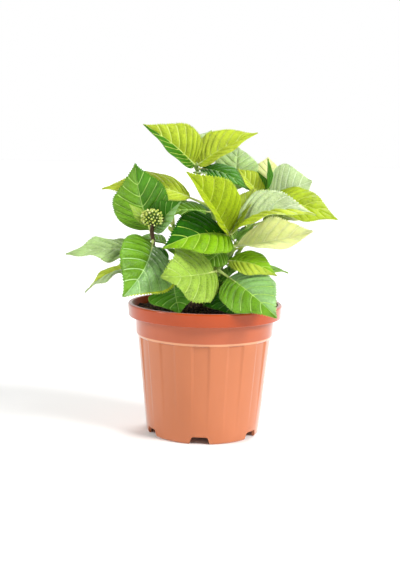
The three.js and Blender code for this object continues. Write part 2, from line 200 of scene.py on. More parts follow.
def leaf_blade_material(name, code, roughness, wax):
    """Living leaf tissue: a waxy cuticle over a soft blade that lets some light through.

    To the eye: a satin sheen broken up by the net of small veins, cloudy patches about 22 mm wide, and
    furrows that are a shade darker. The net and the furrows follow the leaf's own UV map, whose U runs from
    margin to margin and whose V counts the side veins.
    """
    material, tree, shader = new_material(
        name, IOR=1.45, Subsurface_Weight=0.35, Subsurface_Scale=0.0005, Subsurface_Radius=(0.8, 1.0, 0.25),
        Specular_IOR_Level=wax)
    base = linear(code)
    place = add_node(tree, "ShaderNodeTexCoord").outputs
    cloud = add_node(tree, "ShaderNodeTexNoise", {"Vector": place["Object"], "Scale": 45.0, "Detail": 3.0})
    tone = add_node(tree, "ShaderNodeValToRGB", {"Fac": cloud},
                    stops=((0.3, shade(base, 0.75)), (0.7, shade(base, 1.25))))
    along = add_node(tree, "ShaderNodeSeparateXYZ", {"Vector": place["UV"]}).outputs["Y"]
    beside = add_node(tree, "ShaderNodeMath", {0: along, 1: 0.5}, operation="PINGPONG")
    furrow = add_node(tree, "ShaderNodeMapRange",
                      {"Value": beside, "From Max": 0.3, "To Min": 0.84, "To Max": 1.0})
    quilt = add_node(tree, "ShaderNodeMix", {"Factor": furrow, "A": (0, 0, 0, 1), "B": tone},
                     data_type="RGBA")
    # The net's meshes are 2 to 3 mm wide: twelve on each half, and about four between two side veins
    spread = add_node(tree, "ShaderNodeMapping", {"Vector": place["UV"], "Scale": (24.0, 4.2, 1.0)})
    net = add_node(tree, "ShaderNodeTexVoronoi", {"Vector": spread, "Scale": 1.0, "Randomness": 0.85},
                   feature="DISTANCE_TO_EDGE")
    lines = add_node(tree, "ShaderNodeMapRange",
                     {"Value": net, "From Max": 0.16, "To Min": 0.27, "To Max": 0.0})
    add_node(tree, "ShaderNodeMix", {"Factor": lines, "A": quilt, "B": shade(base, 2.2)},
             into=shader["Base Color"], data_type="RGBA")
    add_node(tree, "ShaderNodeMapRange",
             {"Value": cloud, "To Min": roughness - 0.06, "To Max": roughness + 0.12},
             into=shader["Roughness"])
    add_node(tree, "ShaderNodeBump", {"Height": net, "Strength": 0.6, "Distance": 0.0015},
             into=shader["Normal"])
    return material


def stalk_material(name, code, roughness, grain):
    """Stalk and vein tissue: smooth and slightly juicy, with faint clouds.

    The grain is 1000 over the clouds' width in millimetres, from 2 mm on the buds to 6 mm on the stalks.
    """
    material, tree, shader = new_material(name, IOR=1.45, Roughness=roughness, Subsurface_Weight=0.1,
                                          Subsurface_Scale=0.001)
    base = linear(code)
    place = add_node(tree, "ShaderNodeTexCoord").outputs["Object"]
    cloud = add_node(tree, "ShaderNodeTexNoise", {"Vector": place, "Scale": grain, "Detail": 4.0})
    add_node(tree, "ShaderNodeValToRGB", {"Fac": cloud},
             stops=((0.3, shade(base, 0.78)), (0.7, shade(base, 1.2))), into=shader["Base Color"])
    add_node(tree, "ShaderNodeBump", {"Height": cloud, "Strength": 0.3, "Distance": 0.0004},
             into=shader["Normal"])
    return material


def pot_material(rim_code, collar_code, wall_code, ledge_code):
    """Injection-moulded polypropylene: satin gloss, a dusty bloom, faint flow marks and a fine orange peel.

    The body's single wall lets light through and looks lighter than the collar, and the collar lighter than
    the doubled rim. The ledge under the collar is rubbed pale, as it is where stacked pots touch. The bloom
    turns the pot's sides a little paler than its middle.
    """
    material, tree, shader = new_material("moulded polypropylene", IOR=1.49, Specular_IOR_Level=0.45,
                                          Sheen_Weight=0.9, Sheen_Roughness=0.3)
    place = add_node(tree, "ShaderNodeTexCoord").outputs["Object"]
    height = add_node(tree, "ShaderNodeSeparateXYZ", {"Vector": place}).outputs["Z"]
    # The flow marks are about 26 mm wide and four times as tall
    flow = add_node(tree, "ShaderNodeMapping", {"Vector": place, "Scale": (1.0, 1.0, 0.25)})
    marks = add_node(tree, "ShaderNodeTexNoise", {"Vector": flow, "Scale": 38.0, "Detail": 4.0})
    colour = linear(wall_code)
    for (foot, top), code in zip(POT_COLOUR_TURNS, (ledge_code, collar_code, rim_code)):
        above = add_node(tree, "ShaderNodeMapRange", {"Value": height, "From Min": foot, "From Max": top})
        colour = add_node(tree, "ShaderNodeMix", {"Factor": above, "A": colour, "B": linear(code)},
                          data_type="RGBA")
    shadow = add_node(tree, "ShaderNodeMapRange",
                      {"Value": marks, "From Min": 0.1, "From Max": 0.9, "To Min": 0.16, "To Max": 0.0})
    add_node(tree, "ShaderNodeMix", {"Factor": shadow, "A": colour, "B": (0, 0, 0, 1)},
             into=shader["Base Color"], data_type="RGBA")
    add_node(tree, "ShaderNodeMapRange", {"Value": marks, "To Min": 0.16, "To Max": 0.26},
             into=shader["Roughness"])
    # The orange peel is about 1 mm wide
    peel = add_node(tree, "ShaderNodeTexNoise", {"Vector": place, "Scale": 830.0, "Detail": 1.0})
    add_node(tree, "ShaderNodeBump", {"Height": peel, "Strength": 0.1, "Distance": 0.0003},
             into=shader["Normal"])
    return material


def mix_material(name, code, spread):
    """Peat, bark and coir: matte, dark when moist, every crumb of 2 to 3 mm a little different."""
    material, tree, shader = new_material(name, Roughness=0.92)
    base = linear(code)
    place = add_node(tree, "ShaderNodeTexCoord").outputs["Object"]
    crumbs = add_node(tree, "ShaderNodeTexVoronoi", {"Vector": place, "Scale": 420.0})
    add_node(tree, "ShaderNodeValToRGB", {"Fac": crumbs},
             stops=((0.1, shade(base, 1 - spread)), (0.6, shade(base, 1 + spread))),
             into=shader["Base Color"])
    add_node(tree, "ShaderNodeBump", {"Height": crumbs, "Strength": 0.8, "Distance": 0.001},
             into=shader["Normal"])
    return material


# Curves, the same as the source's: centripetal, and walked by arc length
class Route:
    """A smooth curve through named points, read by the share of its length."""

    SAMPLES = 60
    REACH = 0.004

    def __init__(self, points):
        knots = [np.array(p, float) for p in points]
        knots = [2 * knots[0] - knots[1]] + knots + [2 * knots[-1] - knots[-2]]
        places = []
        for p0, p1, p2, p3 in zip(knots, knots[1:], knots[2:], knots[3:]):
            d0, d1, d2 = [max(np.linalg.norm(b - a), 1e-6) ** 0.5 for a, b in ((p0, p1), (p1, p2), (p2, p3))]
            m1 = ((p1 - p0) / d0 - (p2 - p0) / (d0 + d1) + (p2 - p1) / d1) * d1
            m2 = ((p2 - p1) / d1 - (p3 - p1) / (d1 + d2) + (p3 - p2) / d2) * d1
            for i in range(self.SAMPLES):
                t = i / self.SAMPLES
                places.append(p1 + m1 * t + (-3 * p1 + 3 * p2 - 2 * m1 - m2) * t ** 2
                              + (2 * p1 - 2 * p2 + m1 + m2) * t ** 3)
        places.append(knots[-2])
        self.places = np.array(places)
        steps = np.linalg.norm(np.diff(self.places, axis=0), axis=1)
        self.length = steps.sum()
        self.shares = np.concatenate([[0], np.cumsum(steps)]) / self.length

    def at(self, share):
        """The place at a share, or the places at many."""
        return np.array([np.interp(share, self.shares, self.places[:, k]) for k in range(3)]).T

    def heading(self, share):
        """The direction at a share, read a little before and after it."""
        step = self.at(np.minimum(share + self.REACH, 1.0)) - self.at(np.maximum(share - self.REACH, 0.0))
        return step / np.linalg.norm(step, axis=-1, keepdims=True)

    def share_at_height(self, height):
        return float(np.interp(height, self.places[:, 2], self.shares))


class Heap:
    """Points and faces of many small things that become one mesh."""

    def __init__(self):
        self.points, self.faces, self.slots, self.uv, self.count = [], [], [], [], 0

    def add(self, points, faces, slots, uv=None):
        self.points.append(np.asarray(points, float))
        if uv is not None:
            self.uv.append(uv)
        self.faces.extend([i + self.count for i in face] for face in faces)
        self.slots.extend([slots] * len(faces) if isinstance(slots, str) else slots)
        self.count += len(points)

    def add_tube(self, slot, *measures):
        self.add(*tube(*measures), slot)

    def make(self, name, materials, replaces, slot, sharp=None):
        """Makes the piece; sharp is the angle, in degrees, from which its edges are sharp."""
        mesh = bpy.data.meshes.new(name)
        mesh.from_pydata((np.concatenate(self.points) * MM).tolist(), [], self.faces)
        used = sorted(set(self.slots), key=list(materials).index)
        for key in used:
            mesh.materials.append(materials[key])
        order = {key: i for i, key in enumerate(used)}
        mesh.polygons.foreach_set("material_index", [order[s] for s in self.slots])
        mesh.polygons.foreach_set("use_smooth", [True] * len(mesh.polygons))
        if self.uv:
            corners = np.empty(len(mesh.loops), int)
            mesh.loops.foreach_get("vertex_index", corners)
            mesh.uv_layers.new(name="leaf").data.foreach_set("uv", np.concatenate(self.uv)[corners].ravel())
        mesh.update()
        piece = bpy.data.objects.new(name, mesh)
        bpy.context.scene.collection.objects.link(piece)
        if sharp:
            select_only(piece)
            bpy.ops.object.shade_smooth_by_angle(angle=math.radians(sharp))
        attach(piece, BODY)
        if replaces:
            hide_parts(*replaces)


def select_only(piece):
    bpy.ops.object.select_all(action="DESELECT")
    piece.select_set(True)
    bpy.context.view_layer.objects.active = piece


def ring_faces(steps, sides):
    """The faces between rings of points, from the first ring to the last."""
    beside = [(j, (j + 1) % sides) for j in range(sides)]
    return [(i * sides + j, i * sides + k, (i + 1) * sides + k, (i + 1) * sides + j)
            for i in range(steps) for j, k in beside]


def tube(route, start, end, radius, sides, steps):
    """A closed tube along a stretch of a route; radius is a function of the share of the stretch."""
    shares = np.linspace(0, 1, steps + 1)
    where = start + (end - start) * shares
    centres, headings = route.at(where), route.heading(where)
    middle = route.heading((start + end) / 2)
    aside = np.array([1.0, 0, 0]) if abs(middle[0]) < 0.7 else np.array([0, 1.0, 0])
    across = np.cross(aside, headings)
    across /= np.linalg.norm(across, axis=1, keepdims=True)
    other = np.cross(headings, across)
    turns = np.arange(sides) * 2 * math.pi / sides
    reach = np.array([[radius(s, a) for a in turns] for s in shares])
    spokes = np.cos(turns)[:, None] * across[:, None] + np.sin(turns)[:, None] * other[:, None]
    rings = centres[:, None] + reach[..., None] * spokes
    points = np.concatenate([rings.reshape(-1, 3), centres[:1], centres[-1:]])
    faces = ring_faces(steps, sides)
    foot, tip = len(points) - 2, len(points) - 1
    for j in range(sides):
        k = (j + 1) % sides
        faces.append((foot, k, j))
        faces.append((tip, steps * sides + j, steps * sides + k))
    return points, faces


# A leaf's side veins divide it into bays. Its rows stand at shares of a bay, some of them on a tooth's peak,
# and its columns at shares of the way from the midrib to the margin.
SIDE_VEINS = 8
VEIN_PLACES = np.linspace(0.07, 0.94, SIDE_VEINS + 1)
VEIN_LEAN = 2.2
VEIN_CURVE = 1.35
ROW_STEPS = (0.18, 0.25, 0.43, 0.5, 0.68, 0.75, 0.93)
PEAK_STEPS = (0.18, 0.43, 0.68, 0.93)
COLUMNS = (0.12, 0.24, 0.37, 0.5, 0.63, 0.75, 0.86, 0.94, 1.0)
# The teeth begin at the margin's share of the way out, and stand out and dip by shares of their size
MARGIN = 0.86
TOOTH_PEAK, TOOTH_DIP = 0.55, -0.45
TOOTH_LEAN = 0.012
# Waves along the left and the right margin, and the margins' droop per leaf length
MARGIN_WAVES = (2.6, 2.3)
DROOP = 0.03
# In mm, on a leaf of the usual length
FURROW_DEPTH = 0.35
KEEL_DEPTH = 0.9
USUAL_LENGTH = 80
# Stalks of leaves up to the large length, and over it
STALK_RADII = (0.9, 1.5)
LARGE_LENGTH = 45
# Young leaves: their places on the bare part of a bough, their width per length and their tints
YOUNG_PLACES = (0.45, 0.66, 0.87)
YOUNG_PROPORTION = 0.62
YOUNG_TINTS = ("mid", "bright", "dark")


def leaf(at, turn, rise, stalk, length, width, roll, tint, **more):
    """A leaf's measures: its height on the shoot, how it points in degrees, its sizes and its tint.

    Turn goes from +X towards +Y, and roll lifts its left side. More of them are its bow, sway, fold, twist,
    ruffle, fullness and quilt, and a half or an edge with a tint of its own.
    """
    return dict(at=at, turn=turn, rise=rise, stalk=stalk, length=length, width=width, roll=roll, tint=tint,
                **more)


def leaf_axes(turn, rise, roll):
    """The directions along a leaf, to its left and up from its face."""
    t, r, o = [math.radians(x) for x in (turn, rise, roll)]
    along = np.array([math.cos(r) * math.cos(t), math.cos(r) * math.sin(t), math.sin(r)])
    level = np.array([-math.sin(t), math.cos(t), 0])
    above = np.cross(along, level)
    return along, level * math.cos(o) + above * math.sin(o), above * math.cos(o) - level * math.sin(o)


def half_width(u, fullness):
    """Half of a leaf's width, from its base to its drawn-out tip. A lower fullness broadens its base."""
    taper = np.clip((u - 0.5) / 0.4, 0, 1)
    tip = np.clip((u - 0.8) / 0.2, 0, 1)
    drawn_out = (1 - 0.3 * taper ** 2 * (3 - 2 * taper)) * (1 - 0.35 * tip ** 2 * (3 - 2 * tip))
    return np.sin(math.pi * u ** fullness) ** 0.65 * (1 - u ** 6 / 2) * drawn_out


def leaf_rows(length, vein_width, young):
    """Each row's place along the outline, its share of its bay, and whether it is on a tooth's peak."""
    strip = vein_width / length * 1.25
    rows = [(0.0, 0.5, 0), (0.03, 0.5, 0)]
    for a, b in zip(VEIN_PLACES, VEIN_PLACES[1:]):
        rows += [(a, 0.0, 0), (a + strip, 0.0, 0)]
        for step in ROW_STEPS[2::3] if young else ROW_STEPS:
            rows.append((a + (b - a) * step, step, step in PEAK_STEPS))
    rows += [(0.94, 0.0, 0), (0.965, 0.5, 1), (0.985, 0.5, 0), (1.0, 0.5, 0)]
    return rows


def young_leaves(shoot, route, chance):
    """Small leaf pairs at the nodes of a bare bough, each pair a quarter turn on from the last."""
    leaves = []
    first = route.share_at_height(shoot["enters"])
    for i, share in enumerate(YOUNG_PLACES):
        height = route.at(first * share)[2]
        for hand in (0, 180):
            length = chance.uniform(22, 34)
            turn, rise = 40 + 90 * i + hand + chance.uniform(-15, 15), chance.uniform(15, 40)
            roll, tint = chance.uniform(-15, 15), chance.choice(YOUNG_TINTS)
            leaves.append(leaf(height, turn, rise, 6, length, length * YOUNG_PROPORTION, roll, tint,
                               bow=0.1, fold=14, young=True))
    return leaves


def blade_faces(form, within, m):
    """The faces of a blade's two sides and its rim, over rows of m points, and each face's material."""
    n, midrib, tint, half, edge = len(within), m // 2, form["tint"], form.get("half"), form.get("edge")
    faces, slots = [], []
    for i in range(n - 1):
        on_furrow = within[i] == 0 and within[i + 1] == 0
        for j in range(m - 1):
            a, b, c, d = i * m + j, i * m + j + 1, (i + 1) * m + j + 1, (i + 1) * m + j
            faces.append((a, d, c, b))
            faces.append((a + n * m, b + n * m, c + n * m, d + n * m))
            blade = tint
            if half and (j > midrib) == (half[0] == "left"):
                blade = half[1]
            if edge and j == (m - 2 if edge[0] == "left" else 0):
                blade = edge[1]
            on_vein = j in (midrib - 1, midrib) or (on_furrow and 0 < j < m - 2)
            slots.append(("vein", tint) if on_vein else ("blade", blade))
            slots.append(("under", tint))
    rim = [(i * m + j, (i + 1) * m + j, j > 0) for i in range(n - 1) for j in (0, m - 1)]
    rim += [(i * m + j, i * m + j + 1, i == 0) for j in range(m - 1) for i in (0, n - 1)]
    for a, b, flip in rim:
        quad = (a, a + n * m, b + n * m, b)
        faces.append(quad[::-1] if flip else quad)
        slots.append(("under", tint))
    return faces, slots


def grow_leaf(blades, stalks, root, form, sizes, chance):
    """One leaf: a toothed, quilted blade with furrowed veins, on its own stalk."""
    length, width, young = form["length"], form["width"], form.get("young", False)
    bow, sway = form.get("bow", 0.08), form.get("sway", 0.0)
    fold, twist = math.radians(form.get("fold", 10)), math.radians(form.get("twist", 0))
    along, left, up = leaf_axes(form["turn"], form["rise"], form["roll"])
    start = along + 4 * bow * up + 4 * sway * left
    start /= np.linalg.norm(start)
    base = root + start * form["stalk"]

    def rib(u):
        u = np.asarray(u)[..., None]
        arch = 4 * length * u * (1 - u)
        return base + along * length * u + up * bow * arch + left * sway * arch

    def on_blade(u, aside, lift):
        turned = (twist * (u - 0.4))[..., None]
        side = left * np.cos(turned) + up * np.sin(turned)
        above = up * np.cos(turned) - left * np.sin(turned)
        crease = 0.03 * width
        raised = (np.sqrt(aside ** 2 + crease ** 2) - crease) * math.sin(fold) + lift
        return rib(u) + side * (aside * math.cos(fold))[..., None] + above * raised[..., None]

    # Each row crosses the leaf, and v runs from -1 at its right margin over 0 on the midrib to 1 at its left.
    # The midrib is 0.9 mm to each side at the base, and narrows with the blade.
    t, within, peak = np.array(leaf_rows(length, sizes.vein_width / MM, young)).T[:, :, None]
    steps = COLUMNS[1::2] + COLUMNS[-1:] if young else COLUMNS
    reach = np.maximum(half_width(t, form.get("fullness", 0.85)) * width / 2, 0.25)
    near = np.minimum(0.9 * (1 - 0.7 * t), 0.45 * reach) / reach
    out = np.array([-1] * (len(steps) + 1) + [0] + [1] * (len(steps) + 1))
    v = out * (near + (1 - near) * np.array((*steps[::-1], 0, 0, 0, *steps)))
    wide = np.abs(v)

    # The side veins leave the midrib low and run up to the margin, and the teeth point forward
    edge = np.clip((wide - MARGIN) / (1 - MARGIN), 0, 1)
    tooth = sizes.tooth * length * np.where(peak, TOOTH_PEAK, TOOTH_DIP)
    aside = v * reach + out * edge * tooth * np.clip(reach / (0.12 * width), 0, 1)
    foot = t ** VEIN_LEAN
    u = np.clip(foot + (t - foot) * wide ** VEIN_CURVE + edge * peak * TOOTH_LEAN, 0, 1)

    # The tissue bulges between the veins, waves and droops to the margin, and is furrowed over the midrib
    size = length / USUAL_LENGTH
    swell = np.sin(math.pi * t)
    phases = [chance.uniform(0, 6.28) for _ in MARGIN_WAVES]
    quilt = form.get("quilt", 1) * sizes.quilting * length * np.sin(math.pi * within) ** 0.6
    quilt = quilt * np.clip(wide * 5, 0, 1) * (1 - wide ** 5) * (0.4 + 0.6 * swell)
    waves = [np.sin(2 * math.pi * k * t + phase) for k, phase in zip(MARGIN_WAVES, phases)]
    ruffle = form.get("ruffle", 0.016) * length * wide ** 3 * np.where(v > 0, *waves) * swell
    droop = DROOP * length * wide ** 2.5 * np.sin(math.pi * t ** 0.8)
    lift = quilt + ruffle - droop - FURROW_DEPTH * size * np.clip(1 - wide * 12, 0, 1)

    # Underneath, the midrib is a keel and each side vein a ridge
    thickness = sizes.leaf_thickness / MM * (1 - 0.5 * wide ** 4)
    keel = (wide <= near * 1.01) * KEEL_DEPTH * (1 - 0.75 * u)
    ridge = (within == 0) * FURROW_DEPTH * size * (1 - wide ** 2)
    below = lift - thickness - keel - ridge
    points = np.concatenate([on_blade(u, aside, height).reshape(-1, 3) for height in (lift, below)])
    bays = np.interp(t, VEIN_PLACES, np.arange(SIDE_VEINS + 1)) + 0 * v
    uv = np.stack([v * 0.5 + 0.5 + chance.uniform(0, 9), bays], axis=-1)
    blades.add(points, *blade_faces(form, within, v.shape[1]), np.tile(uv.reshape(-1, 2), (2, 1)))

    under = -0.8 * up
    bend = root + start * form["stalk"] * 0.55
    stalk = Route([root, bend, base + under * 0.6, rib(0.06) + under, rib(0.14) + under])
    thick = STALK_RADII[length > LARGE_LENGTH]
    stalks.add_tube("petiole", stalk, 0, 1,
                    lambda s, a: thick * (1.25 - 0.75 * s) * (1 - 0.12 * math.cos(3 * a)), 8, 10)


def fan(at, turn, spread, rise, length):
    """Two leaves at one height, spread to both sides of a turn in degrees."""
    return dict(at=at, turn=turn, spread=spread, rise=rise, length=length)


def limb(name, enters, route, leaves=(), fans=()):
    """A shoot: the height where it enters its mass, its route, its leaves and its fans of leaves."""
    return dict(name=name, enters=enters, route=route, leaves=list(leaves), fans=list(fans))


# The shoots, with the same places as the source's
SHOOTS = [
    limb("left", 163, [(-4, 0, 142), (-22, -9, 156), (-43, -18, 177), (-55, -25, 198), (-57, -29, 214),
          (-58, -34, 224), (-57, -46, 236)], leaves=[
        leaf(168, -80, -27, 16, 50, 58, 18, "grass"),
        leaf(184, -169, -23, 18, 70, 44, -6, "pale", bow=0.12, fold=8, half=("right", "lime"), ruffle=0.04),
        leaf(203, -156, -2, 14, 84, 42, -28, "soft", bow=0.04, fold=8, half=("right", "soft"), ruffle=0.045),
        leaf(215, -112, -35, 8, 84, 72, -51, "glossy", bow=0.06, sway=0.05, fold=12, half=("right", "mid"),
             edge=("left", "lime"), ruffle=0.02, fullness=0.75),
        leaf(220, 124, 64, 6, 78, 64, -45, "mid", bow=0.03, sway=0.03, fold=16, half=("right", "grass"),
             fullness=0.75),
        leaf(223, -31, 43, 4, 47, 40, 72, "dark", bow=0.05, fold=25, half=("right", "glossy")),
        leaf(226, -166, 47, 6, 31, 13, -73, "fresh", bow=0.05),
    ]),
    limb("top", 232, [(-4, 0, 146), (4, 5, 180), (9, 9, 220), (6, 11, 245), (-5, 13, 268),
          (-14, 16, 296)], leaves=[
        leaf(243, -164, 0, 8, 43, 30, -36, "mid", bow=0.05, fold=8),
        leaf(249, 176, 4, 26, 98, 50, -34, "lime", bow=0.11),
        leaf(290, -18, -21, 5, 57, 40, 21, "dark", bow=0.12, fold=8),
        leaf(293, -164, 36, 3, 72, 60, -62, "lime", bow=0.07, fold=38, half=("left", "dark"), fullness=0.6),
        leaf(293, -7, 29, 3, 74, 54, 41, "lime", bow=0.06, fold=25, fullness=0.6),
        leaf(295, 62, 46, 8, 45, 42, 9, "pale", bow=0.03, fullness=0.75),
        leaf(284, -70, 0, 2, 24, 20, 5, "soft", bow=0.1),
    ]),
    limb("centre", 158, [(-4, 0, 144), (4, -13, 162), (13, -29, 184), (24, -19, 206),
          (25, -23, 222)], leaves=[
        leaf(183, -128, 1, 5, 89, 66, -59, "fresh", bow=0.02, sway=0.03, fold=6, ruffle=0.05),
        leaf(184, -43, -28, 20, 75, 62, 32, "mid", bow=0.05, fold=6, half=("left", "glossy"), ruffle=0.03,
             fullness=0.75),
        leaf(193, -17, -14, 8, 55, 38, 35, "sunny", bow=0.12, fold=8, half=("right", "bright")),
        leaf(207, -155, -34, 6, 30, 36, -38, "mid", bow=0.06, fold=8),
        leaf(208, -10, 13, 9, 84, 56, 35, "washed", bow=-0.02, fold=28, twist=60, quilt=0.25),
        leaf(220, -142, -7, 4, 86, 64, -40, "sunny", bow=0.13, fold=8, half=("right", "deep"), fullness=0.75),
        leaf(220, -140, 48, 4, 88, 68, -77, "golden", bow=0.02, sway=-0.03, fold=42),
        leaf(221, 30, 59, 4, 55, 44, 12, "bright", bow=0.02, fold=30),
        leaf(221, -14, 14, 4, 92, 62, 31, "silvery", bow=0.19, fold=25, half=("right", "lime"), ruffle=0.025),
    ]),
    limb("right", 238, [(-4, 0, 145), (18, 8, 185), (42, 14, 222), (60, 18, 248), (67, 21, 270)], leaves=[
        leaf(256, -172, 49, 6, 41, 33, -55, "lime", bow=0.02, fold=35),
        leaf(258, -3, -15, 6, 78, 54, 39, "golden", bow=0.08, fold=8),
        leaf(268, -97, 87, 2, 33, 24, -101, "dark", bow=0.02, fold=16),
        leaf(267, -169, 62, 2, 23, 16, -136, "dark", bow=0.02, fold=16),
    ]),
    limb("low", 152, [(-4, 0, 138), (8, -7, 149), (19, -13, 162), (25, -14, 172)], leaves=[
        leaf(160, -75, -19, 10, 54, 56, 4, "deep", bow=0.03, fold=6),
        leaf(171, 14, 2, 12, 58, 42, 10, "mid", bow=0.12),
    ]),
    limb("back", 200, [(-4, 0, 148), (8, 18, 185), (22, 24, 225), (30, 23, 262)], leaves=[
        leaf(260, 84, 51, 8, 61, 50, 4, "soft", bow=0.12, fold=6),
    ], fans=[
        fan(222, 106, 16, 15, 54),
    ]),
    limb("rear_left", 170, [(-4, 0, 141), (-18, 14, 162), (-30, 30, 192), (-38, 38, 227)], fans=[
        fan(182, 125, 30, -12, 60),
        fan(200, 122, 32, -3, 54),
        fan(225, 134, 38, 28, 50),
    ]),
    limb("rear_right", 176, [(-4, 0, 140), (18, 16, 164), (38, 32, 200), (54, 37, 235),
          (65, 39, 266)], leaves=[
        leaf(258, 10, 20, 9, 52, 60, 86, "pale", bow=0.08, fold=8, quilt=0.3),
        leaf(265, 77, 68, 4, 39, 38, 12, "washed", bow=0.02, fold=6),
    ], fans=[
        fan(180, 80, 24, -10, 54),
        fan(203, 50, 32, 4, 52),
        fan(226, 50, 34, 4, 48),
        fan(256, 108, 36, 22, 40),
    ]),
]
FAN_TINTS = ("mid", "dark", "bright", "mid", "bright", "dark")
FAN_STALK = 0.3
LEAF_PROPORTION = 0.72
BOUGH_FOOT_RADIUS = 2.7
SHOOT_TIP_RADIUS = 1.7
TRUNK = dict(place=(-4, 0), heights=(137.3, 140, 150), radii=(4.2, 3.3))
HEAD = dict(place=(-57, -50, 239), radius=11, height=9.5)
DRAW = dict(seed=1009, factor=16807, modulus=2147483647)


def fanned_leaves():
    """The rear leaves, by the source's own seeded rule, as lists by shoot."""
    drawn = DRAW["seed"]
    fans = {}

    def draw():
        nonlocal drawn
        drawn = (drawn * DRAW["factor"]) % DRAW["modulus"]
        return drawn / DRAW["modulus"] * 2 - 1

    for shoot in SHOOTS:
        leaves = fans[shoot["name"]] = []
        for pair in shoot["fans"]:
            for hand in (-1, 1):
                turn, rise = pair["turn"] + hand * pair["spread"] + 5 * draw(), pair["rise"] + 5 * draw()
                roll, length = hand * -12 + 8 * draw(), pair["length"]
                tint = FAN_TINTS[len(leaves) % len(FAN_TINTS)]
                leaves.append(leaf(pair["at"], turn, rise, FAN_STALK * length, length,
                                   length * LEAF_PROPORTION, roll, tint, bow=0.12, fold=12))
    return fans


# Lights: a name, where each comes from, its softness in degrees and its strength
LIGHTS = (
    ("key from the right", (1.1, -0.65, 0.95), 24, 3.2),
    ("window from the left", (-1.0, -0.35, 0.8), 18, 1.3),
    ("back light", (0.5, 1.0, 0.9), 30, 1.6),
)
# The photo's camera, as solved on the circles of the pot's rim, collar and foot: metres, degrees and mm
CAMERA = dict(place=(0.002, -1.112, 0.3105), yaw=-0.41, pitch=7.54, roll=1.18, sensor=36, lens=64.2)


class HYDRANGEA_OT_stage(bpy.types.Operator):
    """Sets the pale floor, the soft lights and the camera"""

    bl_idname = "hydrangea.stage"
    bl_label = "Stage and camera"

    def execute(self, context):
        scene = context.scene
        bpy.ops.object.select_all(action="DESELECT")
        bpy.ops.mesh.primitive_plane_add(size=40, location=(0, 0, 0))
        floor = context.object
        floor.name = "studio_floor"
        bpy.ops.object.mode_set(mode="EDIT")
        bpy.ops.mesh.subdivide(number_cuts=4)
        bpy.ops.object.mode_set(mode="OBJECT")
        pale = (0.92, 0.92, 0.91, 1)
        material = new_material("white matte studio floor", Roughness=0.7, Base_Color=pale)[0]
        floor.data.materials.append(material)
        floor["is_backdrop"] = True

        for name, toward, softness, power in LIGHTS:
            bpy.ops.object.light_add(type="SUN", location=toward)
            lamp = context.object
            lamp.name = name
            lamp.data.angle = math.radians(softness)
            lamp.data.energy = power
            lamp.rotation_euler = (-Vector(toward)).to_track_quat("-Z", "Y").to_euler()
        world = scene.world or bpy.data.worlds.new("studio")
        scene.world = world
        world.use_nodes = True
        tree = world.node_tree
        way = add_node(tree, "ShaderNodeTexCoord").outputs["Generated"]
        height = add_node(tree, "ShaderNodeSeparateXYZ", {"Vector": way}).outputs["Z"]
        back = tree.nodes["Background"].inputs
        back["Color"].default_value = (1, 1, 1, 1)
        add_node(tree, "ShaderNodeMapRange",
                 {"Value": height, "From Min": 0.15, "From Max": 0.6, "To Min": 1.0, "To Max": 0.3},
                 into=back["Strength"])
        scene.view_settings.view_transform = "Standard"

        data = bpy.data.cameras.new("photo camera")
        data.sensor_width = CAMERA["sensor"]
        data.lens = CAMERA["lens"]
        data.clip_start = 0.05
        camera = bpy.data.objects.new("photo camera", data)
        scene.collection.objects.link(camera)
        yaw, pitch, roll = [math.radians(CAMERA[name]) for name in ("yaw", "pitch", "roll")]
        camera.matrix_world = (Matrix.Translation(CAMERA["place"]) @ Matrix.Rotation(-yaw, 4, "Z")
                               @ Matrix.Rotation(math.pi / 2 - pitch, 4, "X") @ Matrix.Rotation(roll, 4, "Z"))
        scene.camera = camera
        return {"FINISHED"}


def rounded(profile, radius, steps=3):
    """Rounds the corners of a turned profile that are given a radius."""
    out = [profile[0]]
    for before, here, after, r in zip(profile, profile[1:], profile[2:], radius[1:]):
        if not r:
            out.append(here)
            continue
        p0, p1, p2 = Vector(before), Vector(here), Vector(after)
        a = p1 + (p0 - p1).normalized() * min(r, (p0 - p1).length * 0.45)
        b = p1 + (p2 - p1).normalized() * min(r, (p2 - p1).length * 0.45)
        for i in range(steps + 1):
            t = i / steps
            out.append(tuple(a * (1 - t) ** 2 + p1 * 2 * t * (1 - t) + b * t ** 2))
    out.append(profile[-1])
    return out


def turn_profile(name, profile, round_steps):
    """Extrudes a disc ring by ring along a profile of radius and height, and closes its last ring."""
    bpy.ops.object.select_all(action="DESELECT")
    bpy.ops.mesh.primitive_circle_add(vertices=round_steps, radius=profile[0][0], fill_type="NGON",
                                      location=(0, 0, profile[0][1]))
    piece = bpy.context.object
    piece.name = name
    bpy.ops.object.transform_apply(location=True, rotation=True, scale=True)
    bpy.ops.object.mode_set(mode="EDIT")
    bpy.ops.mesh.select_mode(type="EDGE")
    bpy.ops.mesh.select_all(action="SELECT")
    bpy.ops.mesh.region_to_loop()
    for (r0, z0), (r1, z1) in zip(profile, profile[1:]):
        bpy.ops.mesh.extrude_edges_move(TRANSFORM_OT_translate={"value": (0, 0, z1 - z0)})
        bpy.ops.transform.resize(value=(r1 / r0, r1 / r0, 1), center_override=(0, 0, 0))
    bpy.ops.mesh.edge_face_add()
    bpy.ops.mesh.select_all(action="SELECT")
    bpy.ops.mesh.normals_make_consistent(inside=False)
    bpy.ops.object.mode_set(mode="OBJECT")
    return piece


